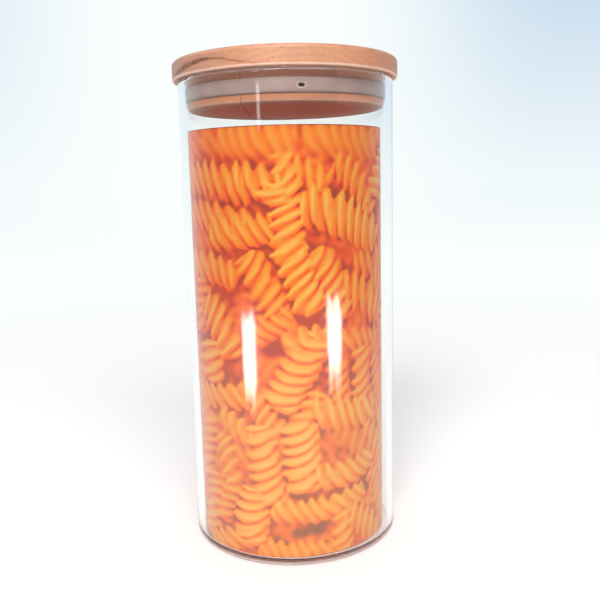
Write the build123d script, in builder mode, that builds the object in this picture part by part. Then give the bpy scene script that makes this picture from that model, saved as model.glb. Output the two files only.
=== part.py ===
"""Food canister: a straight glass cylinder with a wooden plug lid, a silicone sealing ring and a printed paper sleeve.

The jar stands on z = 0 with its axis on Z, and its front is towards -Y.
The lid is a glued panel of wooden staves with a second, smaller panel glued under it as the plug.
The silicone ring sits in a groove round the plug and seals against the inside of the glass.
The paper sleeve is one sheet rolled into a tube, with its ends overlapped and glued at the back.
"""

import math
import os

from build123d import *

# Glass jar
JAR_DIAMETER = 100.0
JAR_HEIGHT = 216.0
WALL = 3.2
FLOOR_THICKNESS = 2.4
HEEL_RADIUS = 1.6  # outer corner between the wall and the base
FLOOR_CORNER = 1.0  # inner corner between the wall and the floor
FOOT_RADIUS = 40.0  # inner edge of the flat ring that the jar stands on
PUSH_UP = 0.8  # height of the domed centre of the base

# Wooden lid panel
LID_DIAMETER = 104.0
LID_THICKNESS = 8.4
LID_TOP_ROUND = 1.8
LID_LOWER_ROUND = 0.8
LID_JOINTS = (-24.0, 34.0)  # glue lines between its staves, along X

# Wooden plug
PLUG_DIAMETER = 91.2
PLUG_DEPTH = 13.4
PLUG_ROUND = 1.0
PLUG_JOINTS = (-18.0, 21.0)

# Silicone ring and its groove in the plug
GROOVE_TOP = 3.8  # below the lid panel
GROOVE_HEIGHT = 6.3
GROOVE_DEPTH = 2.2
RING_CLEARANCE = 0.05  # between the ring and each wall of its groove
RING_TO_GLASS = 0.15
RING_CROWN = 0.35  # how far the middle of the ring's face bulges past its edges
RING_ROUND = 0.4
VENT_WIDTH = 2.8
VENT_HEIGHT = 1.4
VENT_RIM = 0.45  # border of the shallow oval recess round the vent
VENT_RECESS = 0.3
VENT_ANGLE = 8.0  # to the right of the front
VENT_DROP = 3.4  # from the ring's top edge

# Paper sleeve
PAPER = 0.35
SLEEVE_DIAMETER = 89.9
SLEEVE_TOP = 193.3
SLEEVE_LIFT = 0.3  # it stands on the rounded corner, so a little above the floor
SLEEVE_CENTRE = (-1.05, -0.9)  # it is narrower than the jar and stands to its front left
SEAM_ANGLE = 90.0  # the back
STEP_ANGLE = 5.0  # where the under end steps inwards
FLAP_ANGLE = 15.0  # the under end's overlap
LAYER_GAP = 0.1

jar_radius = JAR_DIAMETER / 2
cavity_radius = jar_radius - WALL
lid_radius = LID_DIAMETER / 2
plug_radius = PLUG_DIAMETER / 2
groove_radius = plug_radius - GROOVE_DEPTH
plug_bottom = JAR_HEIGHT - PLUG_DEPTH
groove_top = JAR_HEIGHT - GROOVE_TOP
groove_bottom = groove_top - GROOVE_HEIGHT


def polar(radius, degrees):
    """A point on a circle about the origin."""
    angle = math.radians(degrees)
    return (radius * math.cos(angle), radius * math.sin(angle))


def dome_height(radius):
    """Height of the domed base above its foot, on a sphere through the foot circle and the raised centre."""
    sphere = (FOOT_RADIUS**2 + PUSH_UP**2) / (2 * PUSH_UP)
    return PUSH_UP - sphere + math.sqrt(sphere**2 - radius**2)


def dome_arc(level):
    """The dome's profile from the axis to the foot circle, raised by level."""
    half = FOOT_RADIUS / 2
    return ThreePointArc((0, level + PUSH_UP), (half, level + dome_height(half)), (FOOT_RADIUS, level))


def save(piece, name):
    piece.label = name
    export_step(piece, f"parts/{name}.step")


def cut_staves(panel, joints, kind):
    """Cuts a round panel into its staves at the glue lines and writes each as its own piece."""
    edges = (-lid_radius, *joints, lid_radius)
    sides = ("left", "middle", "right")
    for side, low, high in zip(sides, edges, edges[1:]):
        with BuildPart() as stave:
            add(panel)
            with Locations(((low + high) / 2, 0, JAR_HEIGHT)):
                Box(high - low, LID_DIAMETER, 4 * PLUG_DEPTH, mode=Mode.INTERSECT)
        save(stave.part, f"{kind}_stave_{side}")


os.makedirs("parts", exist_ok=True)

# The glass: one revolved profile, with a domed base, rounded heel and fire-polished rim.
with BuildPart() as glass_jar:
    with BuildSketch(Plane.XZ):
        with BuildLine():
            dome_arc(0)
            Line((FOOT_RADIUS, 0), (jar_radius - HEEL_RADIUS, 0))
            RadiusArc((jar_radius - HEEL_RADIUS, 0), (jar_radius, HEEL_RADIUS), -HEEL_RADIUS)
            Line((jar_radius, HEEL_RADIUS), (jar_radius, JAR_HEIGHT - WALL / 2))
            ThreePointArc(
                (jar_radius, JAR_HEIGHT - WALL / 2),
                (jar_radius - WALL / 2, JAR_HEIGHT),
                (cavity_radius, JAR_HEIGHT - WALL / 2),
            )
            Line((cavity_radius, JAR_HEIGHT - WALL / 2), (cavity_radius, FLOOR_THICKNESS + FLOOR_CORNER))
            RadiusArc(
                (cavity_radius, FLOOR_THICKNESS + FLOOR_CORNER),
                (cavity_radius - FLOOR_CORNER, FLOOR_THICKNESS),
                FLOOR_CORNER,
            )
            Line((cavity_radius - FLOOR_CORNER, FLOOR_THICKNESS), (FOOT_RADIUS, FLOOR_THICKNESS))
            dome_arc(FLOOR_THICKNESS)
            Line((0, FLOOR_THICKNESS + PUSH_UP), (0, PUSH_UP))
        make_face()
    revolve(axis=Axis.Z)
save(glass_jar.part, "glass_jar")

# The sleeve: one sheet's outline seen from above, with its under end stepped inwards below the upper one.
outer_face = SLEEVE_DIAMETER / 2
inner_face = outer_face - PAPER
flap_outer = inner_face - LAYER_GAP
flap_inner = flap_outer - PAPER
turn = 360 - STEP_ANGLE
step_start = SEAM_ANGLE + turn
flap_end = SEAM_ANGLE + FLAP_ANGLE
sleeve_bottom = FLOOR_THICKNESS + SLEEVE_LIFT
sleeve_plane = Plane((*SLEEVE_CENTRE, sleeve_bottom))
with BuildPart() as printed_sleeve:
    with BuildSketch(sleeve_plane):
        with BuildLine():
            CenterArc((0, 0), outer_face, SEAM_ANGLE, turn)
            Line(polar(outer_face, step_start), polar(flap_outer, SEAM_ANGLE))
            CenterArc((0, 0), flap_outer, SEAM_ANGLE, FLAP_ANGLE)
            Line(polar(flap_outer, flap_end), polar(flap_inner, flap_end))
            CenterArc((0, 0), flap_inner, SEAM_ANGLE, FLAP_ANGLE)
            Line(polar(flap_inner, SEAM_ANGLE), polar(inner_face, step_start))
            CenterArc((0, 0), inner_face, SEAM_ANGLE, turn)
            Line(polar(inner_face, SEAM_ANGLE), polar(outer_face, SEAM_ANGLE))
        make_face()
    extrude(amount=SLEEVE_TOP - sleeve_bottom)
save(printed_sleeve.part, "printed_sleeve")

# The silicone ring: a flat band with a slightly crowned sealing face, and one small oval vent through it.
ring_inner = groove_radius + RING_CLEARANCE
ring_outer = cavity_radius - RING_TO_GLASS
ring_edge = ring_outer - RING_CROWN
ring_top = groove_top - RING_CLEARANCE
ring_bottom = groove_bottom + RING_CLEARANCE
vent_plane = Plane(
    origin=(*polar(ring_outer, VENT_ANGLE - 90), ring_top - VENT_DROP),
    x_dir=(*polar(1, VENT_ANGLE), 0),
    z_dir=(*polar(1, VENT_ANGLE - 90), 0),
)
with BuildPart() as silicone_ring:
    with BuildSketch(Plane.XZ):
        with BuildLine():
            Polyline((ring_edge, ring_bottom), (ring_inner, ring_bottom), (ring_inner, ring_top), (ring_edge, ring_top))
            ThreePointArc(
                (ring_edge, ring_top),
                (ring_outer, (ring_top + ring_bottom) / 2),
                (ring_edge, ring_bottom),
            )
        make_face()
    revolve(axis=Axis.Z)
    rims = silicone_ring.edges().filter_by(GeomType.CIRCLE).group_by(SortBy.RADIUS)[-1]
    fillet(rims, RING_ROUND)
    with BuildSketch(vent_plane):
        Ellipse(VENT_WIDTH / 2 + VENT_RIM, VENT_HEIGHT / 2 + VENT_RIM)
    extrude(amount=-VENT_RECESS, mode=Mode.SUBTRACT)
    with BuildSketch(vent_plane):
        Ellipse(VENT_WIDTH / 2, VENT_HEIGHT / 2)
    extrude(amount=-2 * GROOVE_DEPTH, mode=Mode.SUBTRACT)
save(silicone_ring.part, "silicone_ring")

# The plug: a grooved disc of glued staves.
with BuildPart() as plug:
    with BuildSketch(Plane.XY.offset(plug_bottom)):
        Circle(plug_radius)
    extrude(amount=PLUG_DEPTH)
    fillet(plug.edges().sort_by(Axis.Z)[0], PLUG_ROUND)
    with BuildSketch(Plane.XY.offset(groove_bottom)):
        Circle(lid_radius)
        Circle(groove_radius, mode=Mode.SUBTRACT)
    extrude(amount=GROOVE_HEIGHT, mode=Mode.SUBTRACT)
cut_staves(plug.part, PLUG_JOINTS, "plug")

# The lid panel: a wider disc of glued staves with softened edges.
with BuildPart() as lid_panel:
    with BuildSketch(Plane.XY.offset(JAR_HEIGHT)):
        Circle(lid_radius)
    extrude(amount=LID_THICKNESS)
    fillet(lid_panel.edges().sort_by(Axis.Z)[-1], LID_TOP_ROUND)
    fillet(lid_panel.edges().sort_by(Axis.Z)[0], LID_LOWER_ROUND)
cut_staves(lid_panel.part, LID_JOINTS, "lid")
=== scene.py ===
"""Looks of the food canister: clear glass, oiled wood, translucent silicone and a printed paper sleeve."""

import math

import bpy
import numpy as np
from mathutils import Matrix, Vector


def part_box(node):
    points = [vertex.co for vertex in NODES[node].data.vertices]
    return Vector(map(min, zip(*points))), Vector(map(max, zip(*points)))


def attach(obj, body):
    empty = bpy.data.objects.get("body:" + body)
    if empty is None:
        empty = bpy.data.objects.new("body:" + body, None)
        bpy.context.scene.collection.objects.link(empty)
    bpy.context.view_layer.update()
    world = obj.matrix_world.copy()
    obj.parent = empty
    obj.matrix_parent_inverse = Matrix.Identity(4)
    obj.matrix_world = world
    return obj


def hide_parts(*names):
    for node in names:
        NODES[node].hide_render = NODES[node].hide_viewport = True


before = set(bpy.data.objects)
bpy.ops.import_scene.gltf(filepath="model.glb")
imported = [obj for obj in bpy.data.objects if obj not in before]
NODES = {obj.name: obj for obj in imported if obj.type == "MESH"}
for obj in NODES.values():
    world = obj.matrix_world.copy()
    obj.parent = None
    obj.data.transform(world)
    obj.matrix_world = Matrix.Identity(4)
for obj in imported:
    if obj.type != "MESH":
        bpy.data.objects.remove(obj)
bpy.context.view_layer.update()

MM = 0.001
scene = bpy.context.scene
scene.view_settings.view_transform = "Standard"
scene.cycles.max_bounces = 28
scene.cycles.transmission_bounces = 28
scene.cycles.glossy_bounces = 12
scene.cycles.transparent_max_bounces = 24

jar_low, jar_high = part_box("glass_jar")
sleeve_low, sleeve_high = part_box("printed_sleeve")
ring_low, ring_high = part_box("silicone_ring")
lid_low, lid_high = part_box("lid_stave_middle")
plug_low, plug_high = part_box("plug_stave_middle")


# ---------------------------------------------------------------- camera

CAMERA_BACK = 0.345
CAMERA_UP = 0.1699
CAMERA_DOWN = math.radians(9.41)
CAMERA_RIGHT = math.radians(0.76)
CAMERA_ROLL = math.radians(-1.35)
LENS = 42.7
SENSOR_WIDTH = 36.0


def make_camera():
    """The camera in front of the jar, lower than its lid, looking down and rolled slightly."""
    data = bpy.data.cameras.new("camera")
    data.sensor_width = SENSOR_WIDTH
    data.lens = LENS
    data.clip_start = 0.01
    data.clip_end = 100.0
    camera = bpy.data.objects.new("camera", data)
    scene.collection.objects.link(camera)
    level = Vector((math.sin(CAMERA_RIGHT), math.cos(CAMERA_RIGHT), 0))
    ahead = level * math.cos(CAMERA_DOWN) - Vector((0, 0, math.sin(CAMERA_DOWN)))
    right = Vector((math.cos(CAMERA_RIGHT), -math.sin(CAMERA_RIGHT), 0))
    up = right.cross(ahead)
    side = right * math.cos(CAMERA_ROLL) + up * math.sin(CAMERA_ROLL)
    top = up * math.cos(CAMERA_ROLL) - right * math.sin(CAMERA_ROLL)
    turn = Matrix((side, top, -ahead)).transposed().to_4x4()
    camera.matrix_world = Matrix.Translation((0, -CAMERA_BACK, CAMERA_UP)) @ turn
    scene.camera = camera


make_camera()


# ---------------------------------------------------------------- shader helpers


class Tree:
    """A node tree under construction. Each call adds nodes and returns output sockets,
    except that node() and blend() return the node, and surface() ends the tree."""

    def __init__(self, owner):
        owner.use_nodes = True
        self.tree = owner.node_tree
        self.tree.nodes.clear()

    def node(self, kind, inputs=None, **settings):
        made = self.tree.nodes.new(kind)
        for name, value in settings.items():
            setattr(made, name, value)
        for name, value in (inputs or {}).items():
            if isinstance(value, bpy.types.NodeSocket):
                self.tree.links.new(value, made.inputs[name])
            else:
                made.inputs[name].default_value = value
        return made

    def math(self, operation, a, b=None, c=None, clamp=False):
        inputs = {i: value for i, value in enumerate((a, b, c)) if value is not None}
        return self.node("ShaderNodeMath", inputs, operation=operation, use_clamp=clamp).outputs[0]

    def length(self, a, b):
        return self.math("SQRT", self.math("ADD", self.math("MULTIPLY", a, a), self.math("MULTIPLY", b, b)))

    def place(self):
        return self.node("ShaderNodeTexCoord").outputs["Object"]

    def split(self, vector):
        made = self.node("ShaderNodeSeparateXYZ", {0: vector})
        return made.outputs[0], made.outputs[1], made.outputs[2]

    def stretch(self, vector, scale, offset=(0, 0, 0)):
        inputs = {"Vector": vector, "Location": offset, "Scale": scale}
        return self.node("ShaderNodeMapping", inputs).outputs[0]

    def noise(self, vector, scale, detail=3.0, rough=0.5, warp=0.0):
        inputs = {"Vector": vector, "Scale": scale, "Detail": detail, "Roughness": rough, "Distortion": warp}
        return self.node("ShaderNodeTexNoise", inputs).outputs["Fac"]

    def span(self, value, low, high, to_low=0.0, to_high=1.0, smooth=True):
        """The value carried from low..high to to_low..to_high, and held at those beyond them."""
        kind = "SMOOTHSTEP" if smooth else "LINEAR"
        inputs = {0: value, 1: low, 2: high, 3: to_low, 4: to_high}
        return self.node("ShaderNodeMapRange", inputs, interpolation_type=kind, clamp=True).outputs[0]

    def mix(self, factor, a, b):
        """Colour a turned towards colour b."""
        return self.node("ShaderNodeMix", {0: factor, 6: a, 7: b}, data_type="RGBA").outputs[2]

    def blend(self, factor, a, b):
        """Shader node a turned towards shader node b."""
        return self.node("ShaderNodeMixShader", {0: factor, 1: a.outputs[0], 2: b.outputs[0]})

    def bump(self, height, strength, distance):
        inputs = {"Height": height, "Strength": strength, "Distance": distance}
        return self.node("ShaderNodeBump", inputs).outputs[0]

    def surface(self, shader, output="ShaderNodeOutputMaterial"):
        out = self.tree.nodes.new(output)
        self.tree.links.new(shader.outputs[0], out.inputs["Surface"])


def linear(red, green, blue):
    """A colour given as 0 to 255 display values, as the shader wants it."""
    values = [c / 255 for c in (red, green, blue)]
    return tuple(c / 12.92 if c <= 0.04045 else ((c + 0.055) / 1.055) ** 2.4 for c in values) + (1.0,)


def scaled(colour, factor):
    """A shader's colour made lighter or darker."""
    return tuple(c * factor for c in colour[:3]) + (1.0,)


def wear(node, material):
    """Gives a CAD node's object its material in place of the plain one it came with."""
    slots = NODES[node].data.materials
    slots.clear()
    slots.append(material)


# ---------------------------------------------------------------- wood

RING_WIDTH = 2.6 * MM  # between growth rings
RING_SWAY = 5 * MM  # how far they wander along the stave
LATE_WOOD = linear(158, 100, 64)
VEIN_CORE = linear(98, 56, 38)
VEIN_HALO = linear(150, 96, 70)
# painted shade on the lid panel's top edge, towards the right
RIM_SHADE = linear(150, 96, 66)
# painted shade on the plug below its ring
SHADE_BELOW_RING = linear(158, 92, 58)
# painted orange bounce light from the print, under the plug
UNDERSIDE_BOUNCE = linear(250, 128, 46)
# painted highlight along the lower edges of the lid panel and the plug
EDGE_HIGHLIGHT = linear(246, 208, 188)
GLUE = linear(96, 62, 48)

# The vein: how far along its span of the rim, and how high between the panel's faces.
# Its two ends come first, because a new curve starts with them.
VEIN_FROM = -48 * MM
VEIN_TO = -2 * MM
VEIN = (
    (0.0, 0.18),
    (1.0, 0.04),
    (0.08, 0.32),
    (0.21, 0.48),
    (0.29, 0.53),
    (0.39, 0.53),
    (0.5, 0.45),
    (0.6, 0.30),
    (0.75, 0.17),
)


def grain(t, place, tone, seed, centre):
    """Straight grain along Y: growth rings about a far centre, slow clouds, fine fibres and pores.
    It gives the colour, the fibres and the pores."""
    x, _, z = t.split(place)
    sway = t.math("SUBTRACT", t.noise(t.stretch(place, (1, 0.06, 1), (seed, seed * 0.7, -seed)), 42, 2), 0.5)
    away = t.length(t.math("SUBTRACT", x, centre[0] * MM), t.math("SUBTRACT", z, centre[1] * MM))
    away = t.math("MULTIPLY_ADD", sway, RING_SWAY, away)
    turn = t.math("FRACT", t.math("DIVIDE", away, RING_WIDTH))
    band = t.math("SUBTRACT", t.math("POWER", turn, 2.4), t.span(turn, 0.9, 1.0), clamp=True)
    faint = t.span(t.noise(t.stretch(place, (1, 0.2, 1), (seed, 0, seed)), 30, 2), 0.35, 0.65, 0.12, 0.42)
    fibre = t.noise(t.stretch(place, (1, 0.03, 1), (0, seed, 0)), 1500, 2, 0.6)
    pore = t.span(t.noise(t.stretch(place, (1, 0.08, 1), (seed, 0, 0)), 620, 1, 0.4), 0.63, 0.74)
    cloud = t.noise(t.stretch(place, (1, 0.25, 1), (0, 0, seed)), 38, 3)
    colour = t.mix(t.span(cloud, 0.3, 0.7), tone, scaled(tone, 1.14))
    colour = t.mix(t.math("MULTIPLY", band, faint), colour, LATE_WOOD)
    colour = t.mix(t.math("MULTIPLY", t.span(fibre, 0.42, 0.7), 0.2), colour, LATE_WOOD)
    colour = t.mix(t.math("MULTIPLY", pore, 0.25), colour, scaled(LATE_WOOD, 0.55))
    return colour, fibre, pore


def dark_vein(t, place, colour):
    """The dark vein that rises and falls along the left of the lid panel's rim, thickest at its left end."""
    x, _, z = t.split(place)
    along = t.span(x, VEIN_FROM, VEIN_TO, smooth=False)
    path = t.node("ShaderNodeFloatCurve", {"Value": along})
    curve = path.mapping.curves[0]
    for i, (across, up) in enumerate(VEIN):
        point = curve.points[i] if i < 2 else curve.points.new(across, up)
        point.location = (across, up)
    path.mapping.update()
    line = t.math("MULTIPLY_ADD", path.outputs[0], lid_high.z - lid_low.z, lid_low.z)
    wander = t.math("MULTIPLY", t.math("SUBTRACT", t.noise(place, 420, 3, 0.6), 0.5), 1.3 * MM)
    gap = t.math("ABSOLUTE", t.math("SUBTRACT", t.math("ADD", z, wander), line))
    thickness = t.span(x, -44 * MM, -24 * MM, 2.1 * MM, 0.6 * MM)
    thick = t.math("MULTIPLY", t.noise(t.stretch(place, (1, 0.1, 0.2)), 160, 2), thickness)
    past = t.span(t.math("SUBTRACT", gap, thick), -0.3 * MM, 0.15 * MM)
    core = t.math("SUBTRACT", 1.0, past, clamp=True)
    core = t.math("MULTIPLY", core, t.span(t.noise(place, 1100, 2), 0.38, 0.56, 0.35, 1.0))
    halo = t.math("SUBTRACT", 1.0, t.span(gap, 0, 1.6 * MM))
    ends = t.math("MULTIPLY", t.span(x, -50 * MM, -46 * MM), t.span(x, -26 * MM, VEIN_TO, 1, 0))
    colour = t.mix(t.math("MULTIPLY", t.math("MULTIPLY", halo, ends), 0.35), colour, VEIN_HALO)
    return t.mix(t.math("MULTIPLY", t.math("MULTIPLY", core, ends), 0.85), colour, VEIN_CORE)


def painted_edge_highlight(t, place, z, radius, low, high, share, colour):
    """A painted highlight along the edge where the side of a disc meets its lower face."""
    inward = t.math("SUBTRACT", high.y, radius)
    from_edge = t.math("SUBTRACT", t.math("ADD", z, inward), low.z)
    from_edge = t.math("MULTIPLY_ADD", t.noise(place, 500, 2), 0.5 * MM, from_edge)
    lit_edge = t.span(from_edge, 0.7 * MM, 1.35 * MM, 1, 0)
    return t.mix(t.math("MULTIPLY", lit_edge, share), colour, EDGE_HIGHLIGHT)


def plug_painted_light_and_glue(t, place, x, z, radius, colour):
    """The plug has painted shade below the ring, a painted orange glow of the print's bounce light on its
    underside, a painted highlight on its lower edge, and is dark at its left glue line.
    """
    # painted shade below the ring
    below = t.span(z, ring_low.z + 0.1 * MM, ring_low.z - 0.4 * MM)
    colour = t.mix(t.math("MULTIPLY", below, 0.45), colour, SHADE_BELOW_RING)
    # painted orange bounce light from the print, strongest at the middle of the underside
    flat = t.span(z, plug_low.z + 0.1 * MM, plug_low.z + 0.5 * MM, 1, 0)
    under = t.math("MULTIPLY", flat, t.span(radius, 44 * MM, 26 * MM))
    colour = t.mix(t.math("MULTIPLY", under, 0.85), colour, UNDERSIDE_BOUNCE)
    # painted highlight along the plug's lower edge
    colour = painted_edge_highlight(t, place, z, radius, plug_low, plug_high, 0.3, colour)
    off_line = t.math("ABSOLUTE", t.math("SUBTRACT", x, plug_low.x))
    return t.mix(t.span(off_line, 0.05 * MM, 0.3 * MM, 0.7, 0), colour, GLUE)


def lid_painted_light(t, place, x, z, radius, colour):
    """The lid panel's top edge has painted shade towards the right, and its lower edge a painted highlight.
    """
    # painted shade along the right part of the top edge
    rim = t.math("MULTIPLY", t.span(z, lid_high.z - 1.5 * MM, lid_high.z - 0.4 * MM), t.span(x, 0, 26 * MM))
    rim = t.math("MULTIPLY", rim, t.span(radius, lid_high.y - 1.4 * MM, lid_high.y - 0.7 * MM, 0, 0.5))
    colour = t.mix(rim, colour, RIM_SHADE)
    # painted highlight along the lid panel's lower edge
    return painted_edge_highlight(t, place, z, radius, lid_low, lid_high, 0.8, colour)


def wood(name, tone, seed, centre, vein=False, plug=False):
    """One stave's oiled wood. The lid panel's has a sheen, and the plug's is bare."""
    made = bpy.data.materials.new(name)
    t = Tree(made)
    place = t.place()
    x, y, z = t.split(place)
    radius = t.length(x, y)
    colour, fibre, pore = grain(t, place, tone, seed, centre)
    if vein:
        colour = dark_vein(t, place, colour)
    tint = plug_painted_light_and_glue if plug else lid_painted_light
    colour = tint(t, place, x, z, radius, colour)
    smoothest, roughest = (0.6, 0.75) if plug else (0.42, 0.6)
    height = t.math("SUBTRACT", fibre, t.math("MULTIPLY", pore, 0.8))
    shader = t.node(
        "ShaderNodeBsdfPrincipled",
        {
            "Base Color": colour,
            "Roughness": t.span(fibre, 0.2, 0.8, smoothest, roughest, smooth=False),
            "Coat Weight": 0.0 if plug else 0.12,
            "Specular IOR Level": 0.15 if plug else 0.5,
            "Coat Roughness": 0.3,
            "Normal": t.bump(height, 0.35, 0.12 * MM),
        },
    )
    t.surface(shader)
    return made


# Each stave's tone, the seed of its grain, and the centre of its growth rings across and up, in mm.
wear("lid_stave_left", wood("wood_lid_left", linear(180, 132, 108), 3.1, (-30, 168), vein=True))
wear("lid_stave_middle", wood("wood_lid_middle", linear(190, 136, 104), 7.7, (6, 150), vein=True))
wear("lid_stave_right", wood("wood_lid_right", linear(186, 131, 100), 5.3, (50, 176)))
wear("plug_stave_left", wood("wood_plug_left", linear(200, 136, 102), 9.2, (-40, 250), plug=True))
wear("plug_stave_middle", wood("wood_plug_middle", linear(190, 130, 103), 1.9, (4, 262), plug=True))
wear("plug_stave_right", wood("wood_plug_right", linear(206, 144, 114), 6.4, (36, 240), plug=True))


# ---------------------------------------------------------------- silicone

VENT_RADIUS = 46.65 * MM
VENT_ANGLE = math.radians(8)  # to the right of the front
VENT_DROP = 3.4 * MM  # from the ring's top edge
VENT_SHAPE = 1.6  # how much wider than high its marks are
SILICONE_DARK = linear(150, 123, 117)
SILICONE_PALE = linear(160, 135, 128)
SILICONE_LOW_EDGE = linear(118, 104, 92)
# painted highlight round the vent
VENT_RIM_HIGHLIGHT = linear(214, 196, 190)
# painted shade in the vent hole
VENT_HOLE_SHADE = linear(88, 58, 50)


def silicone():
    """Translucent grey rubber with a faint mould bloom, darker towards its wavy lower edge, a painted
    highlight round its vent and painted shade in the vent.
    """
    made = bpy.data.materials.new("silicone")
    t = Tree(made)
    place = t.place()
    x, y, z = t.split(place)
    fine = t.noise(place, 1400, 2)
    colour = t.mix(t.span(t.noise(place, 120, 3), 0.3, 0.7), SILICONE_DARK, SILICONE_PALE)
    # darker towards the wavy lower edge
    wavy_height = t.math("MULTIPLY_ADD", t.noise(place, 70, 3), 1.6 * MM, z)
    low = t.span(wavy_height, ring_low.z + 0.7 * MM, ring_low.z + 2.2 * MM, 1, 0)
    colour = t.mix(t.math("MULTIPLY", low, 0.75), colour, SILICONE_LOW_EDGE)
    across = t.math("SUBTRACT", x, VENT_RADIUS * math.sin(VENT_ANGLE))
    above = t.math("MULTIPLY", t.math("SUBTRACT", z, ring_high.z - VENT_DROP), VENT_SHAPE)
    from_vent = t.length(across, above)
    front = t.span(y, -30 * MM, -31 * MM)
    # painted highlight round the vent
    rim = t.math("MULTIPLY", t.span(from_vent, 2.6 * MM, 1.9 * MM), front)
    colour = t.mix(t.math("MULTIPLY", rim, 0.4), colour, VENT_RIM_HIGHLIGHT)
    # painted shade in the vent hole
    hole = t.math("MULTIPLY", t.span(from_vent, 1.45 * MM, 1.2 * MM), front)
    colour = t.mix(t.math("MULTIPLY", hole, 0.8), colour, VENT_HOLE_SHADE)
    shader = t.node(
        "ShaderNodeBsdfPrincipled",
        {
            "Base Color": colour,
            "Roughness": t.span(fine, 0.3, 0.7, 0.48, 0.6, smooth=False),
            "Subsurface Weight": 0.5,
            "Subsurface Radius": (1.0, 0.8, 0.7),
            "Subsurface Scale": 1.2 * MM,
            "IOR": 1.42,
            "Normal": t.bump(fine, 0.15, 0.05 * MM),
        },
    )
    t.surface(shader)
    return made


wear("silicone_ring", silicone())


# ---------------------------------------------------------------- glass

GLASS_CLEAR = (0.985, 0.995, 0.99, 1.0)
# painted reflection of the print, with painted shade, in the foot's colour
FOOT_REFLECTION_TINT = (0.86, 0.78, 0.77, 1.0)
SHADE_CLEAR = (0.96, 0.975, 0.97, 1.0)
SHADE_FOOT = (0.8, 0.72, 0.71, 1.0)
# painted light at the rim and the foot, in place of dark reflections
RIM_PAINTED_LIGHT = linear(238, 244, 246)
FOOT_PAINTED_LIGHT = linear(240, 217, 212)


def glass():
    """Clear borosilicate, with a pale diffuse share of painted light at its foot and its fire-polished rim,
    and at the foot a pink tint that is a painted reflection of the print with painted shade.
    Light on its way to or from what is inside passes straight through."""
    made = bpy.data.materials.new("glass")
    t = Tree(made)
    place = t.place()
    z = t.split(place)[2]
    drawn = t.noise(t.stretch(place, (1, 1, 0.05)), 60, 2)
    smudge = t.noise(place, 55, 4, 0.6)
    foot = t.span(z, 1.4 * MM, 2.4 * MM, 1, 0)
    rim = t.span(z, jar_high.z - 1.6 * MM, jar_high.z - 0.6 * MM)
    clear = t.node(
        "ShaderNodeBsdfPrincipled",
        {
            "Base Color": t.mix(foot, GLASS_CLEAR, FOOT_REFLECTION_TINT),
            "Roughness": t.span(smudge, 0.5, 0.8, 0.0, 0.02),
            "IOR": 1.47,
            "Transmission Weight": 1.0,
            "Normal": t.bump(drawn, 0.02, 0.2 * MM),
        },
    )
    # a pale diffuse share of painted light at the foot and the rim
    painted_light = t.node("ShaderNodeBsdfDiffuse", {"Color": t.mix(foot, RIM_PAINTED_LIGHT, FOOT_PAINTED_LIGHT)})
    body = t.blend(t.math("MULTIPLY", t.math("MAXIMUM", foot, rim), 0.3), clear, painted_light)
    through = t.node("ShaderNodeBsdfTransparent", {"Color": t.mix(foot, SHADE_CLEAR, SHADE_FOOT)})
    path = t.node("ShaderNodeLightPath")
    easy = t.math("MAXIMUM", path.outputs["Is Shadow Ray"], path.outputs["Is Diffuse Ray"])
    t.surface(t.blend(easy, body, through))
    return made


wear("glass_jar", glass())


# ---------------------------------------------------------------- the printed picture: a pile of spiral pasta

SAMPLE = 0.25  # mm between samples of the picture
PITCH = 5.6  # mm from one blade of a spiral to the next
CORE = 0.62  # a spiral's solid middle, as a share of its radius
BLADE = 0.46  # half the thickness of its blades, likewise
BLADES = 3
TURNS = 96  # entries of a spiral's table by turn, which goes round
ACROSS = 96  # steps of the table across the spiral
HEIGHTS = 121  # heights that are tried at each place of the table
EMPTY = -9.0  # the table's height where no part of the spiral lies
SHEET_RADIUS = (sleeve_high.y - sleeve_low.y) / 2 / MM
SHEET_ROUND = 2 * math.pi * SHEET_RADIUS
SHEET_LOW = sleeve_low.z / MM
SHEET_TALL = (sleeve_high.z - sleeve_low.z) / MM
COLUMNS = round(SHEET_ROUND / SAMPLE)
ROWS = math.ceil(SHEET_TALL / SAMPLE) + 1


def blur(a, mm):
    """Gaussian blur of the picture, which wraps round the sheet and repeats its top and bottom rows."""
    reach = math.ceil(3 * mm / SAMPLE)
    weights = np.exp(-0.5 * (np.arange(-reach, reach + 1) * SAMPLE / mm) ** 2)
    weights /= weights.sum()
    wide = np.concatenate([a[:, -reach:], a, a[:, :reach]], axis=1)
    a = sum(w * wide[:, i : i + a.shape[1]] for i, w in enumerate(weights))
    tall = np.concatenate([np.repeat(a[:1], reach, 0), a, np.repeat(a[-1:], reach, 0)], axis=0)
    return sum(w * tall[i : i + a.shape[0]] for i, w in enumerate(weights))


def blur_colour(colour, mm):
    return np.stack([blur(colour[..., i], mm) for i in range(3)], -1)


def spiral_table(lean, pitch_ratio):
    """A three-bladed spiral seen lean degrees from square, by place across it and by turn.
    It gives the height over the spiral's axis, and how far out from the axis that is."""
    blade_turn = 2 * np.pi / BLADES
    across = np.linspace(-1, 1, ACROSS + 1)[:, None, None]
    turn = (np.arange(TURNS) / TURNS)[None, :, None] * blade_turn
    rise = np.linspace(1, -1, HEIGHTS)[None, None, :]
    spin = turn + math.tan(math.radians(lean)) / pitch_ratio * blade_turn * rise
    inside = np.hypot(across, rise) <= CORE
    for blade in range(BLADES):
        angle = blade * blade_turn - spin
        off_blade = np.hypot(across - (1 - BLADE) * np.sin(angle), rise - (1 - BLADE) * np.cos(angle))
        inside = inside | (off_blade <= BLADE)
    height = np.where(inside.any(-1), rise[0, 0, inside.argmax(-1)], EMPTY)
    return height, np.hypot(across[..., 0], np.where(height == EMPTY, 0, height))


TABLES = {}  # those made so far, by lean and by pitch as a share of the radius


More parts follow.
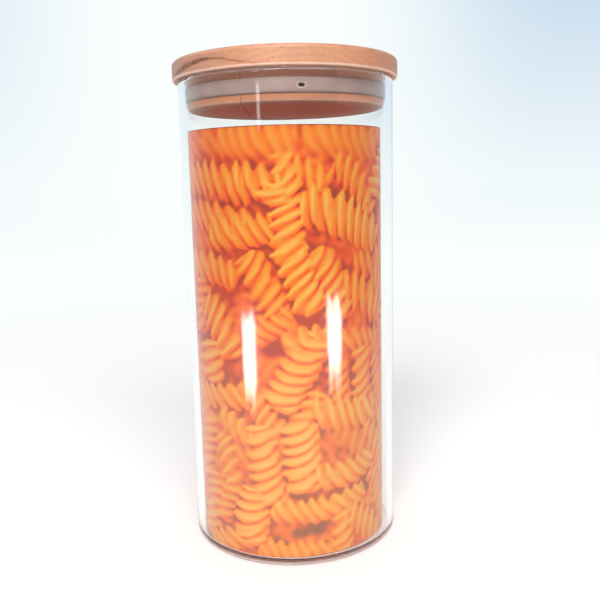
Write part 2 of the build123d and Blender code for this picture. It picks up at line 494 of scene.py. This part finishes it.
def read_table(table, i, j):
    """The table's value between its entries; the second index goes round."""
    i0, j0 = i.astype(int), j.astype(int) % TURNS
    j1 = (j0 + 1) % TURNS
    fi, fj = i - i0, j - np.floor(j)
    left = table[i0, j0] * (1 - fi) + table[i0 + 1, j0] * fi
    right = table[i0, j1] * (1 - fi) + table[i0 + 1, j1] * fi
    return left * (1 - fj) + right * fj


def stamp(layers, u, up, angle, length, wide, bend=0.0, lean=0, level=0.0, turn=0.0, near=1):
    """Lays one spiral on the pile, given its middle, angle, size, bow, lean, level and turn."""
    pile, crest, focus = layers
    z = up - SHEET_LOW
    half, radius = length / 2, wide / 2
    box = half + radius + abs(bend)
    first, last = max(0, int((z - box) / SAMPLE)), min(ROWS, int((z + box) / SAMPLE))
    if last <= first:
        return
    columns = np.arange(int((u - box) / SAMPLE), int((u + box) / SAMPLE))[None, :]
    rows = np.arange(first, last)[:, None]
    here = (rows, columns % COLUMNS)
    du = columns * SAMPLE - u
    dz = rows * SAMPLE - z
    a = math.radians(angle)
    along = du * math.cos(a) + dz * math.sin(a)
    aside = dz * math.cos(a) - du * math.sin(a)
    bow = bend / half**2
    aside = aside + bow * along * along - bend / 3
    along = along - 2 * bow * along * aside

    taper = 0.4 * radius
    over = np.clip((np.abs(along) - (half - taper)) / taper, 0, 1)
    uneven = 1 + 0.05 * np.sin(along * 0.42 + 19 * turn) + 0.04 * np.sin(along * 1.3 + 7 * turn)
    scale = radius * (0.35 + 0.65 * np.sqrt(1 - over**2)) * uneven
    phase = turn + (along + 0.9 * np.sin(along * 0.23 + 11 * turn)) / PITCH
    key = (lean, round(PITCH / radius, 1))
    if key not in TABLES:
        TABLES[key] = spiral_table(*key)
    heights, crests = TABLES[key]
    i = np.clip((aside / scale + 1) * ACROSS / 2, 0, ACROSS - 0.001)
    j = phase % 1.0 * TURNS
    height = read_table(heights, i, j)
    full = level + height * scale
    wins = (np.abs(along) < half) & (np.abs(aside) < scale) & (height > EMPTY / 3) & (full > pile[here])
    pile[here] = np.where(wins, full, pile[here])
    crest[here] = np.where(wins, read_table(crests, i, j), crest[here])
    focus[here] = np.where(wins, near, focus[here])


# Each near spiral: across from the front, up, angle, length, width, bow, lean, level, turn. mm and degrees.
NEAR = (
    (-34, 171, -8, 44, 17, 2, 10, -1, 0.1),
    (-11, 170, -12, 26, 17, 0, 15, 1.0, 0.3),
    (0, 175, 100, 15, 12, 0, 20, 3.5, 0.2),
    (9, 173, -25, 21, 14, 1, 10, 1, 0.6),
    (-5, 165, 78, 9, 17, 0, 25, 5.5, 0.5),
    (33, 168, -48, 32, 15, 3, 15, 0, 0.2),
    (27, 153.5, -24, 46, 20, 2, 15, 2, 0.5),
    (-35, 155, -6, 40, 15, 2, 10, -1, 0.7),
    (-21, 150, 4, 32, 16, -1, 20, 1, 0.35),
    (0, 154, -88, 34, 16, 1, -5, 4, 0.1),
    (5, 130, -72, 34, 16.5, -1.5, -10, 4.5, 0.55),
    (-37, 133, -9, 32, 15, 2, 15, 0, 0.4),
    (-11, 127, -62, 30, 16, 1, -15, 0.5, 0.3),
    (18, 126, -66, 34, 17, 1, -10, 1, 0.6),
    (42, 133, -15, 24, 14, 0, 15, -1, 0.8),
    (38, 118, -30, 36, 18, 2, 5, 0, 0.25),
    (-45, 116, 80, 26, 15, 1, 10, -3, 0.5),
    (-8, 109, 28, 22, 14, 0, 25, 0.5, 0.6),
    (7, 102, 12, 20, 14, 1, 35, 2, 0.4),
    (-33, 107, -58, 30, 18, 2, 5, 0.5, 0.2),
    (35, 100, -8, 26, 12, 0, 10, 0, 0.45),
    (3, 88, 60, 38, 18, 1, 35, 2.5, 0.7),
    (-39, 91, 86, 20, 18, 0, 15, 0.5, 0.3),
    (34.5, 81, 88, 32, 13, 0, 25, 1, 0.15),
    (22, 80, 95, 26, 12, 0, 10, 0, 0.5),
    (47, 84, 97, 32, 13, 1, 10, -1.5, 0.6),
    (-34, 76, 4, 36, 13, -1, 10, 1, 0.2),
    (-26, 63, -32, 20, 12, 0, 35, 1.5, 0.75),
    (8, 71, 52, 20, 13, 0, 10, 1, 0.35),
    (26, 68, -9, 38, 16, -2, 0, 2, 0.55),
    (-13, 72, -62, 30, 14, 0, 10, 0.2, 0.5),
    (-12, 46, 97, 38, 17, 1, 35, 1, 0.1),
    (4, 50, 94, 34, 18, 0, 35, 2.2, 0.5),
    (-31, 46, -78, 26, 14, 1, 10, -0.5, 0.2),
    (-45, 50, 75, 34, 14, 0, 5, -1.5, 0.5),
    (46, 46, -60, 34, 15, 1, 5, -0.5, 0.4),
    (21, 41, 0, 42, 14, -5, 10, 2.2, 0.3),
    (13, 25.8, 4, 46, 12.5, -3, 15, 2.5, 0.15),
    (-19, 21, 84, 28, 18, 1, 35, 1.2, 0.4),
    (-30, 8, 24, 30, 13, 0, 15, 0.5, 0.2),
    (-42, 22, 78, 34, 14, 0, 10, -1, 0.9),
    (-32, 27, 64, 24, 13, 1, 15, -0.5, 0.6),
    (-5, 5, -12, 24, 12, 1, 15, 0, 0.6),
    (11, 5.5, -8, 20, 10, 0, 15, 0.6, 0.1),
    (23, 12, 84, 24, 13, 0, 25, 1, 0.25),
    (36, 12, -44, 32, 15, 1, 10, 0.8, 0.7),
    (48, 22, -70, 34, 14, 0, 10, -1.5, 0.1),
)
# The same for the spirals further down, which the picture shows out of focus.
FAR = (
    (-12, 187.5, -2, 36, 18, 0, 25, -0.5, 0.2),
    (28, 187, -3, 42, 18, 1, 25, -0.5, 0.6),
    (-44, 186, 18, 28, 15, 0, 0, -4, 0.1),
    (15, 176, 30, 30, 15, 0, 0, -7, 0.5),
    (46, 172, -70, 26, 14, 0, 0, -5, 0.3),
    (-36, 145, 4, 28, 13, 0, 0, -4, 0.5),
    (40, 143, 5, 30, 12, 0, 0, -5, 0.2),
    (22, 56, 10, 24, 12, 0, 0, -4.5, 0.3),
    (-40, 62, 30, 22, 12, 0, 0, -5, 0.3),
    (20, 140, 40, 26, 13, 0, 0, -6, 0.3),
    (-18, 118, 60, 26, 14, 0, 0, -5.5, 0.3),
    (15, 96, 60, 26, 12, 0, 0, -6, 0.3),
)
# Dark gaps between them: across, up, and the reach of each.
GAPS = (
    (10.5, 16, 5.5, 3.6),
    (2.5, 14.3, 4, 2.6),
    (-7, 100, 4.5, 4.5),
    (13.5, 87, 3, 4),
    (31, 86, 3, 6),
    (9, 111, 6, 2.5),
    (44, 107, 5, 4),
    (30, 131, 5, 2.5),
    (-44, 127, 3, 3),
    (-28, 124, 3, 4),
    (-31, 85, 3, 3.5),
    (-35, 67, 4, 2.5),
    (-45, 48, 5, 7),
    (43, 84, 2.5, 9),
    (18, 139, 9, 5),
    (8, 141, 3, 4),
    (-20, 32, 4, 1.5),
    (-43, 20, 2, 5),
    (34, 30, 9, 3.5),
    (48, 158, 5, 5),
    (-46, 180, 9, 6),
    (-47, 140, 6, 6),
    (-10, 141, 4, 2),
)
GAP_DEPTH = 10

BOTTOM = -11.0  # the pile's level before anything lies on it
# Spirals strewn under the rest, as level and count, and the spans of the sheet that they cover.
BACK_LAYERS = ((-7, 70), (-4, 50))
BACK_SPAN = (50, SHEET_ROUND - 50)
BACK_NEAR_SPAN = (58, SHEET_ROUND - 52)
FRONT_LAYERS = ((-9, 34), (-6.5, 46), (-4, 30))
FRONT_SPAN = (-62, 62)
LEANS = [0, 10, 20, 30]
ANGLES = [-80, -55, -25, -8, 8, 30, 60, 88]
CELL_UP = 14
CELL_ACROSS = 22


def scatter(draw, layers, count, low, high, level):
    """Spirals out of focus, strewn at random over part of the sheet."""
    for _ in range(count):
        stamp(
            layers,
            draw.uniform(low, high),
            SHEET_LOW + draw.uniform(0, SHEET_TALL),
            draw.uniform(-90, 90),
            draw.uniform(24, 44),
            draw.uniform(12.5, 17),
            bend=draw.uniform(-3, 3),
            lean=int(draw.choice(LEANS)),
            level=level + draw.uniform(-1, 1),
            turn=draw.uniform(),
            near=0,
        )


def strew(draw, layers, low, high):
    """Near spirals over part of the sheet, one to a cell, so that they don't bunch."""
    for up in np.arange(SHEET_LOW + 4, SHEET_LOW + SHEET_TALL + 6, CELL_UP):
        for u in np.arange(low, high, CELL_ACROSS):
            stamp(
                layers,
                u + draw.uniform(-5, 5),
                up + draw.uniform(-3, 3),
                draw.choice(ANGLES) + draw.uniform(-8, 8),
                draw.uniform(26, 40),
                draw.uniform(13.5, 17.5),
                bend=draw.uniform(-2.5, 2.5),
                lean=int(draw.choice(LEANS)),
                level=draw.uniform(-2.5, 4),
                turn=draw.uniform(),
            )


def lay_spirals(across, up):
    """The pile's height, how far out on its spiral each place is, and what is in focus."""
    draw = np.random.default_rng(11)
    pile = np.full((ROWS, COLUMNS), BOTTOM)
    crest = np.full((ROWS, COLUMNS), 0.6)
    focus = np.zeros((ROWS, COLUMNS))
    layers = (pile, crest, focus)
    for level, count in BACK_LAYERS:
        scatter(draw, layers, count, *BACK_SPAN, level)
    strew(draw, layers, *BACK_NEAR_SPAN)
    for level, count in FRONT_LAYERS:
        scatter(draw, layers, count, *FRONT_SPAN, level)
    for u, z, wide, tall in GAPS:
        hole = np.exp(-((((across - u) / wide) ** 2 + ((up - z) / tall) ** 2) ** 2))
        pile -= GAP_DEPTH * hole
        crest *= 1 - 0.8 * hole
    for row in FAR:
        stamp(layers, *row, near=0)
    for row in NEAR:
        stamp(layers, *row, near=1)
    return layers


LIGHT_LEFT, LIGHT_UP, LIGHT_OUT = 0.2, 0.5, 0.84  # the way from the sheet to the picture's light
CREASES = ((0.6, 0.15), (1.5, 0.10), (4.5, 0.34))  # between the spirals: reach in mm, and weight
SHADOW_DROPS = (3, 6, 10)  # samples from what casts a shadow down to where it falls


def light_on(pile, soft, crest):
    """How much light reaches each place of the pile, from above and a little to the left."""
    round_off = blur(pile, 0.75)
    slope_u = np.clip((np.roll(round_off, -1, 1) - np.roll(round_off, 1, 1)) / (2 * SAMPLE), -1.5, 1.5)
    slope_z = np.clip(np.gradient(round_off, SAMPLE, axis=0), -1.5, 1.5)
    steep = np.sqrt(1 + slope_u**2 + slope_z**2)
    facing = np.clip((LIGHT_LEFT * slope_u - LIGHT_UP * slope_z + LIGHT_OUT) / steep, 0, 1)
    shut = np.zeros_like(pile)
    for reach, weight in CREASES:
        shut += weight * np.clip((blur(soft, reach) - soft) / reach, 0, 1.8)
    shadow = np.zeros_like(pile)
    for drop in SHADOW_DROPS:
        higher = np.concatenate([soft[drop:], np.repeat(soft[-1:], drop, 0)])
        shadow = np.maximum(shadow, np.clip((higher - soft - 1.8 - 0.8 * drop * SAMPLE) / 3, 0, 1))
    shadow = blur(shadow, 0.3)
    ridge = np.clip((crest - 0.55) / 0.4, 0, 1)
    deep = np.clip((soft + 1) / 11, 0, 1)
    light = (0.50 + 0.08 * ridge + 0.42 * facing) * (0.42 + 0.58 * deep)
    return light * np.clip(1 - shut, 0, 1) * (1 - 0.5 * shadow)


def ramp(value, stops):
    """A colour for each value, between the stops' colours."""
    at = [stop[0] for stop in stops]
    return np.stack([np.interp(value, at, [stop[1][i] for stop in stops]) for i in range(3)], -1)


INK_STRENGTH = 0.86
# Display colours of the picture by how much light reaches a place, from a tight joint to a lit edge.
INK = (
    (0.00, (150, 44, 18)),
    (0.10, (208, 60, 14)),
    (0.20, (240, 78, 12)),
    (0.34, (250, 98, 16)),
    (0.50, (255, 125, 20)),
    (0.68, (255, 147, 32)),
    (0.90, (255, 170, 58)),
    (1.00, (255, 181, 74)),
)
# Those of a deep gap by height on the sheet, and a painted glare that pales the sheet's lower part.
GAP_INK = ((40, (122, 52, 34)), (110, (205, 62, 20)), (150, (225, 70, 18)))
GLARE_INK = (255, 206, 150)


def picture():
    """The whole picture, as linear colours by row and column."""
    across = np.arange(COLUMNS) * SAMPLE
    across = np.where(across > SHEET_ROUND / 2, across - SHEET_ROUND, across)[None, :]
    up = SHEET_LOW + np.arange(ROWS)[:, None] * SAMPLE
    pile, crest, focus = lay_spirals(across, up)
    soft = blur(pile, 0.25)
    colour = ramp(light_on(pile, soft, crest), INK)
    sunk = np.clip((-4.5 - soft) / 6, 0, 0.92)[..., None]
    colour = colour + (ramp(np.broadcast_to(up, pile.shape), GAP_INK) - colour) * sunk
    # painted glare that pales the lower part of the sheet
    pale = np.clip((96 - up) / 120, 0, 0.28)[..., None]
    colour = colour + (np.array(GLARE_INK) - colour) * pale
    focus = blur(focus, 0.5)[..., None]
    colour = colour * focus + blur_colour(colour, 0.75) * (1 - focus)
    sharper = (0.2 + 0.6 * focus) * (colour - blur_colour(colour, 1.0))
    colour = np.clip(colour + sharper, 0, 255) / 255
    return INK_STRENGTH * np.where(colour <= 0.04045, colour / 12.92, ((colour + 0.055) / 1.055) ** 2.4)


# ---------------------------------------------------------------- the sleeve

SEAM = math.pi / 2  # the sheet's upper end is at the back
STEP_TURN = math.radians(5)
FLAP_TURN = math.radians(15)
FLAP_COLUMNS = 12
PAPER = 0.35 * MM
LAYER_GAP = 0.1 * MM
GRID = 0.5 * MM
BACK_INK = 0.8  # stands in the ink attribute where the sheet isn't printed


def outline():
    """Angles, outer radii and inner radii along the rolled sheet, seen from above."""
    radius = SHEET_RADIUS * MM
    sunk = radius - PAPER - LAYER_GAP
    main = np.linspace(SEAM, SEAM + 2 * math.pi - STEP_TURN, round(2 * math.pi * radius / GRID))
    flap = np.linspace(SEAM + 2 * math.pi, SEAM + 2 * math.pi + FLAP_TURN, FLAP_COLUMNS)
    outer = np.concatenate([np.full(main.size, radius), np.full(flap.size, sunk)])
    return np.concatenate([main, flap]), outer, outer - PAPER


def upright(angle, radius, height):
    """Points on a wall about the sleeve's axis, by column and height."""
    points = np.zeros((angle.size, height.size, 3))
    points[..., 0] = ((sleeve_low.x + sleeve_high.x) / 2 + radius * np.cos(angle))[:, None]
    points[..., 1] = ((sleeve_low.y + sleeve_high.y) / 2 + radius * np.sin(angle))[:, None]
    points[..., 2] = height[None, :]
    return points.reshape(-1, 3)


def sheet_faces(columns, rows):
    """The closed sheet's faces: printed side, back, foot and top, and last its two ends."""
    c, r = np.meshgrid(np.arange(columns - 1), np.arange(rows - 1), indexing="ij")
    corners = [c * rows + r, (c + 1) * rows + r, (c + 1) * rows + r + 1, c * rows + r + 1]
    front = np.stack(corners, -1).reshape(-1, 4)
    base = columns * rows
    k = np.arange(columns - 1)
    low, high = base + 2 * k, base + 2 * k + 1
    inside = np.stack([low, high, high + 2, low + 2], -1)
    foot = np.stack([k * rows, low, low + 2, (k + 1) * rows], -1)
    top = np.stack([k * rows + rows - 1, (k + 1) * rows + rows - 1, high + 2, high], -1)
    last_column = range(columns * rows - 1, (columns - 1) * rows - 1, -1)
    start = [base, *range(rows), base + 1]
    end = [base + 2 * columns - 1, *last_column, base + 2 * columns - 2]
    return front.tolist(), inside.tolist(), foot.tolist() + top.tolist() + [start, end]


def ink_at(image, angle, height):
    """The picture's colour at each point of the printed side."""
    across = (angle + math.pi / 2) * SHEET_RADIUS / SAMPLE % COLUMNS
    up = (height - sleeve_low.z) / MM / SAMPLE
    c0, r0 = np.floor(across).astype(int), np.minimum(np.floor(up).astype(int), ROWS - 2)
    fc, fr = (across - c0)[:, None, None], (up - r0)[None, :, None]
    c1 = (c0 + 1) % COLUMNS
    c0 = c0 % COLUMNS
    lower = image[r0][:, c0].transpose(1, 0, 2) * (1 - fc) + image[r0][:, c1].transpose(1, 0, 2) * fc
    upper = image[r0 + 1][:, c0].transpose(1, 0, 2) * (1 - fc) + image[r0 + 1][:, c1].transpose(1, 0, 2) * fc
    return (lower * (1 - fr) + upper * fr).reshape(-1, 3)


def make_sleeve():
    """The rolled sheet as one closed mesh, fine on the printed side, with the picture in an attribute."""
    angle, outer, inner = outline()
    columns, rows = angle.size, round((sleeve_high.z - sleeve_low.z) / GRID) + 1
    height = np.linspace(sleeve_low.z, sleeve_high.z, rows)
    points = np.concatenate([upright(angle, outer, height), upright(angle, inner, height[[0, -1]])])
    printed, back, edges = sheet_faces(columns, rows)

    mesh = bpy.data.meshes.new("printed_sleeve_sheet")
    mesh.from_pydata(points.tolist(), [], printed + back + edges)
    mesh.polygons.foreach_set("use_smooth", [True] * (len(printed) + len(back)) + [False] * len(edges))
    mesh.polygons.foreach_set("material_index", [0] * len(printed) + [1] * (len(back) + len(edges)))
    colours = np.concatenate([ink_at(picture(), angle, height), np.full((2 * columns, 3), BACK_INK)])
    ink = mesh.attributes.new("ink", "FLOAT_VECTOR", "POINT")
    ink.data.foreach_set("vector", colours.astype(np.float32).ravel())
    mesh.update()
    sheet = bpy.data.objects.new("printed_sleeve_sheet", mesh)
    scene.collection.objects.link(sheet)
    return sheet


MOTTLE = (0.3, 0.04, 0.01, 1.0)
TOP_EDGE_SHADE = linear(132, 62, 36)
PAPER_DULL = linear(236, 232, 226)
PAPER_PALE = linear(246, 243, 238)
PAPER_FIBRE = linear(214, 206, 196)


def print_material():
    """Satin print: the picture's ink, the paper's tooth in its gloss, and painted shade along its top edge.
    """
    made = bpy.data.materials.new("printed_face")
    t = Tree(made)
    place = t.place()
    z = t.split(place)[2]
    ink = t.node("ShaderNodeAttribute", attribute_name="ink").outputs["Vector"]
    tooth = t.noise(place, 1800, 3, 0.6)
    mottle = t.noise(place, 260, 2)
    colour = t.mix(t.span(mottle, 0.35, 0.75, 0.0, 0.06), ink, MOTTLE)
    # painted shade along the sheet's top edge
    uneven = t.math("MULTIPLY_ADD", t.noise(place, 120, 2), 0.5 * MM, z)
    edge_shade = t.span(uneven, sleeve_high.z - 0.4 * MM, sleeve_high.z + 0.15 * MM)
    colour = t.mix(t.math("MULTIPLY", edge_shade, 0.9), colour, TOP_EDGE_SHADE)
    satin = t.node(
        "ShaderNodeBsdfPrincipled",
        {
            "Base Color": colour,
            "Roughness": t.span(tooth, 0.3, 0.7, 0.45, 0.6, smooth=False),
            "Specular IOR Level": 0.12,
            "Normal": t.bump(tooth, 0.12, 0.03 * MM),
        },
    )
    t.surface(t.blend(0.25, satin, t.node("ShaderNodeBsdfTranslucent", {"Color": colour})))
    return made


def paper_material():
    """The sheet's bare white back: short fibres in its colour and surface."""
    made = bpy.data.materials.new("paper_back")
    t = Tree(made)
    place = t.place()
    fibres = t.noise(t.stretch(place, (1, 1, 0.4)), 1300, 4, 0.65, 0.6)
    cloud = t.noise(place, 90, 3)
    colour = t.mix(t.span(cloud, 0.3, 0.7), PAPER_DULL, PAPER_PALE)
    colour = t.mix(t.span(fibres, 0.55, 0.75, 0.0, 0.25), colour, PAPER_FIBRE)
    matt = t.node(
        "ShaderNodeBsdfPrincipled",
        {"Base Color": colour, "Roughness": 0.85, "Normal": t.bump(fibres, 0.3, 0.04 * MM)},
    )
    t.surface(t.blend(0.35, matt, t.node("ShaderNodeBsdfTranslucent", {"Color": colour})))
    return made


sleeve = make_sleeve()
sleeve.data.materials.append(print_material())
sleeve.data.materials.append(paper_material())
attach(sleeve, "sleeve")
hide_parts("printed_sleeve")


# ---------------------------------------------------------------- floor, light and surroundings

HORIZON = (0.96, 1.0, 0.99, 1.0)
COOL = (0.58, 0.72, 0.86, 1.0)
LOW_COOL = 0.22  # how far the surroundings turn towards that colour at the level of the horizon
DARK_SIDE = (0.15, 0.09, 0.08, 1.0)
OVERHEAD = (0.66, 0.65, 0.65, 1.0)
FLOOR_DULL = (0.775, 0.78, 0.785, 1.0)
FLOOR_PALE = (0.81, 0.81, 0.81, 1.0)
FLOOR_HALF = 40.0
FLOOR_GAP = 0.1 * MM  # below the jar's foot


def lit_side(t, y):
    """How bright the surroundings are by direction: lit behind the object, and dark in front.
    The camera sees them lit all round, also through the glass."""
    path = t.node("ShaderNodeLightPath")
    seen = t.math("MAXIMUM", path.outputs["Is Camera Ray"], path.outputs["Is Transmission Ray"])
    return t.math("MAXIMUM", t.span(y, -0.1, 0.6), seen)


def cool_side(t, x):
    """How blue the surroundings are by direction: most on the right, some on the left."""
    return t.math("ADD", t.span(x, 0.05, 0.36), t.span(x, -0.45, -0.18, 0.75, 0.0))


def make_floor():
    """A pale floor that fades into the backdrop's own brightness, as a sweep of studio paper does."""
    mesh = bpy.data.meshes.new("floor")
    half, level = FLOOR_HALF, jar_low.z - FLOOR_GAP
    corners = [(-half, -half, level), (half, -half, level), (half, half, level), (-half, half, level)]
    mesh.from_pydata(corners, [], [(0, 1, 2, 3)])
    floor = bpy.data.objects.new("floor", mesh)
    scene.collection.objects.link(floor)
    made = bpy.data.materials.new("floor")
    t = Tree(made)
    place = t.place()
    x, y, _ = t.split(place)
    away = t.node("ShaderNodeVectorMath", {0: place}, operation="LENGTH").outputs["Value"]
    colour = t.mix(t.noise(place, 3.0, 2), FLOOR_DULL, FLOOR_PALE)
    paper = t.node(
        "ShaderNodeBsdfPrincipled",
        {"Base Color": colour, "Roughness": 0.8, "Specular IOR Level": 0.2},
    )
    low = t.span(t.math("DIVIDE", 1.0, away), 0.02, 0.8, LOW_COOL, 0.0)
    cool = t.math("MULTIPLY", cool_side(t, t.math("DIVIDE", x, away)), low)
    glow = t.mix(lit_side(t, t.math("DIVIDE", y, away)), DARK_SIDE, t.mix(cool, HORIZON, COOL))
    sweep = t.node("ShaderNodeEmission", {"Color": glow, "Strength": 1.0})
    t.surface(t.blend(t.span(away, 0.3, 0.95), paper, sweep))
    mesh.materials.append(made)


def make_world():
    """A pale studio: bright behind, greyer overhead, dark in front, and bluer higher up at the sides."""
    world = bpy.data.worlds.new("studio")
    scene.world = world
    t = Tree(world)
    x, y, z = t.split(t.node("ShaderNodeTexCoord").outputs["Generated"])
    cool = t.math("MULTIPLY", t.span(z, 0.0, 0.24, LOW_COOL, 1.0, smooth=False), cool_side(t, x))
    cool = t.math("MULTIPLY", cool, t.span(z, 0.28, 0.7, 1, 0))
    colour = t.mix(lit_side(t, y), DARK_SIDE, t.mix(cool, HORIZON, COOL))
    colour = t.mix(t.span(z, 0.35, 0.75), colour, OVERHEAD)
    shade = t.node("ShaderNodeBackground", {"Color": colour, "Strength": 1.0})
    t.surface(shade, "ShaderNodeOutputWorld")


def make_lamp(name, place, aim, size, power):
    """A square soft box that the camera doesn't see."""
    data = bpy.data.lights.new(name, "AREA")
    data.size = size
    data.energy = power
    lamp = bpy.data.objects.new(name, data)
    scene.collection.objects.link(lamp)
    lamp.location = place
    lamp.rotation_euler = (Vector(aim) - Vector(place)).to_track_quat("-Z", "Y").to_euler()
    lamp.visible_camera = False


def make_sun(name, travel, strength, soft):
    """Even light that travels one way, with its softness in degrees."""
    data = bpy.data.lights.new(name, "SUN")
    data.energy = strength
    data.angle = math.radians(soft)
    sun = bpy.data.objects.new(name, data)
    scene.collection.objects.link(sun)
    sun.rotation_euler = Vector(travel).to_track_quat("-Z", "Y").to_euler()


STRIP_AWAY = 0.21  # from the jar's axis
STRIP_SPARE = 0.02  # of the panel above and below the bright part


def make_strip(name, azimuth, low, high, width, strength, ragged=0.0):
    """A narrow light panel beside the camera, which only shows as an upright highlight on the glass.
    Its ends are ragged, and its sides have a faint halo."""
    a = math.radians(azimuth)
    wide, foot, head = width * 1.2, low - STRIP_SPARE, high + STRIP_SPARE
    mesh = bpy.data.meshes.new(name)
    corners = [(-wide, 0, foot), (wide, 0, foot), (wide, 0, head), (-wide, 0, head)]
    mesh.from_pydata(corners, [], [(0, 1, 2, 3)])
    strip = bpy.data.objects.new(name, mesh)
    scene.collection.objects.link(strip)
    strip.location = (STRIP_AWAY * math.sin(a), -STRIP_AWAY * math.cos(a), 0)
    strip.rotation_euler = (0, 0, a)
    made = bpy.data.materials.new(name)
    t = Tree(made)
    place = t.place()
    x, _, z = t.split(place)
    tall = high - low
    spikes = t.noise(t.stretch(place, (1, 1, 0.12)), 150, 2)
    z = t.math("MULTIPLY_ADD", t.math("SUBTRACT", spikes, 0.5), ragged, z)
    rise = t.math("MULTIPLY", t.span(z, low, low + 0.4 * tall), t.span(z, high - 0.12 * tall, high, 1, 0))
    slim = t.span(z, low, low + 0.5 * tall, 0.55, 1.0)
    across = t.math("DIVIDE", t.math("ABSOLUTE", x), t.math("MULTIPLY", slim, width / 2))
    core = t.math("MULTIPLY", t.span(across, 0.8, 1.0, 1, 0), rise)
    halo = t.math("MULTIPLY", t.span(across, 0.8, 2.3, 0.045, 0), t.span(z, foot, low + 0.4 * tall))
    halo = t.math("MULTIPLY", halo, t.span(z, high - 0.1 * tall, head, 1, 0))
    bright = t.math("MULTIPLY", t.math("ADD", core, halo), strength)
    shine = t.node("ShaderNodeEmission", {"Strength": bright})
    clear = t.node("ShaderNodeBsdfTransparent")
    t.surface(t.node("ShaderNodeAddShader", {0: clear.outputs[0], 1: shine.outputs[0]}))
    mesh.materials.append(made)
    strip.visible_camera = False
    strip.visible_diffuse = False
    strip.visible_shadow = False


make_floor()
make_world()
make_sun("key", (0.26, 0.95, -0.76), 1.9, 28)
make_sun("fill", (-0.34, 0.95, -0.76), 1.15, 32)
make_lamp("front", (-0.04, -0.55, 0.6), (0, -0.38, 0), 0.3, 2.0)
make_strip("strip_left", -41.6, 0.018, 0.085, 0.054, 16, ragged=0.03)
make_strip("strip_right", 41.8, 0.032, 0.091, 0.058, 16, ragged=0.07)
make_strip("strip_thin", -25, 0.198, 0.233, 0.009, 5)
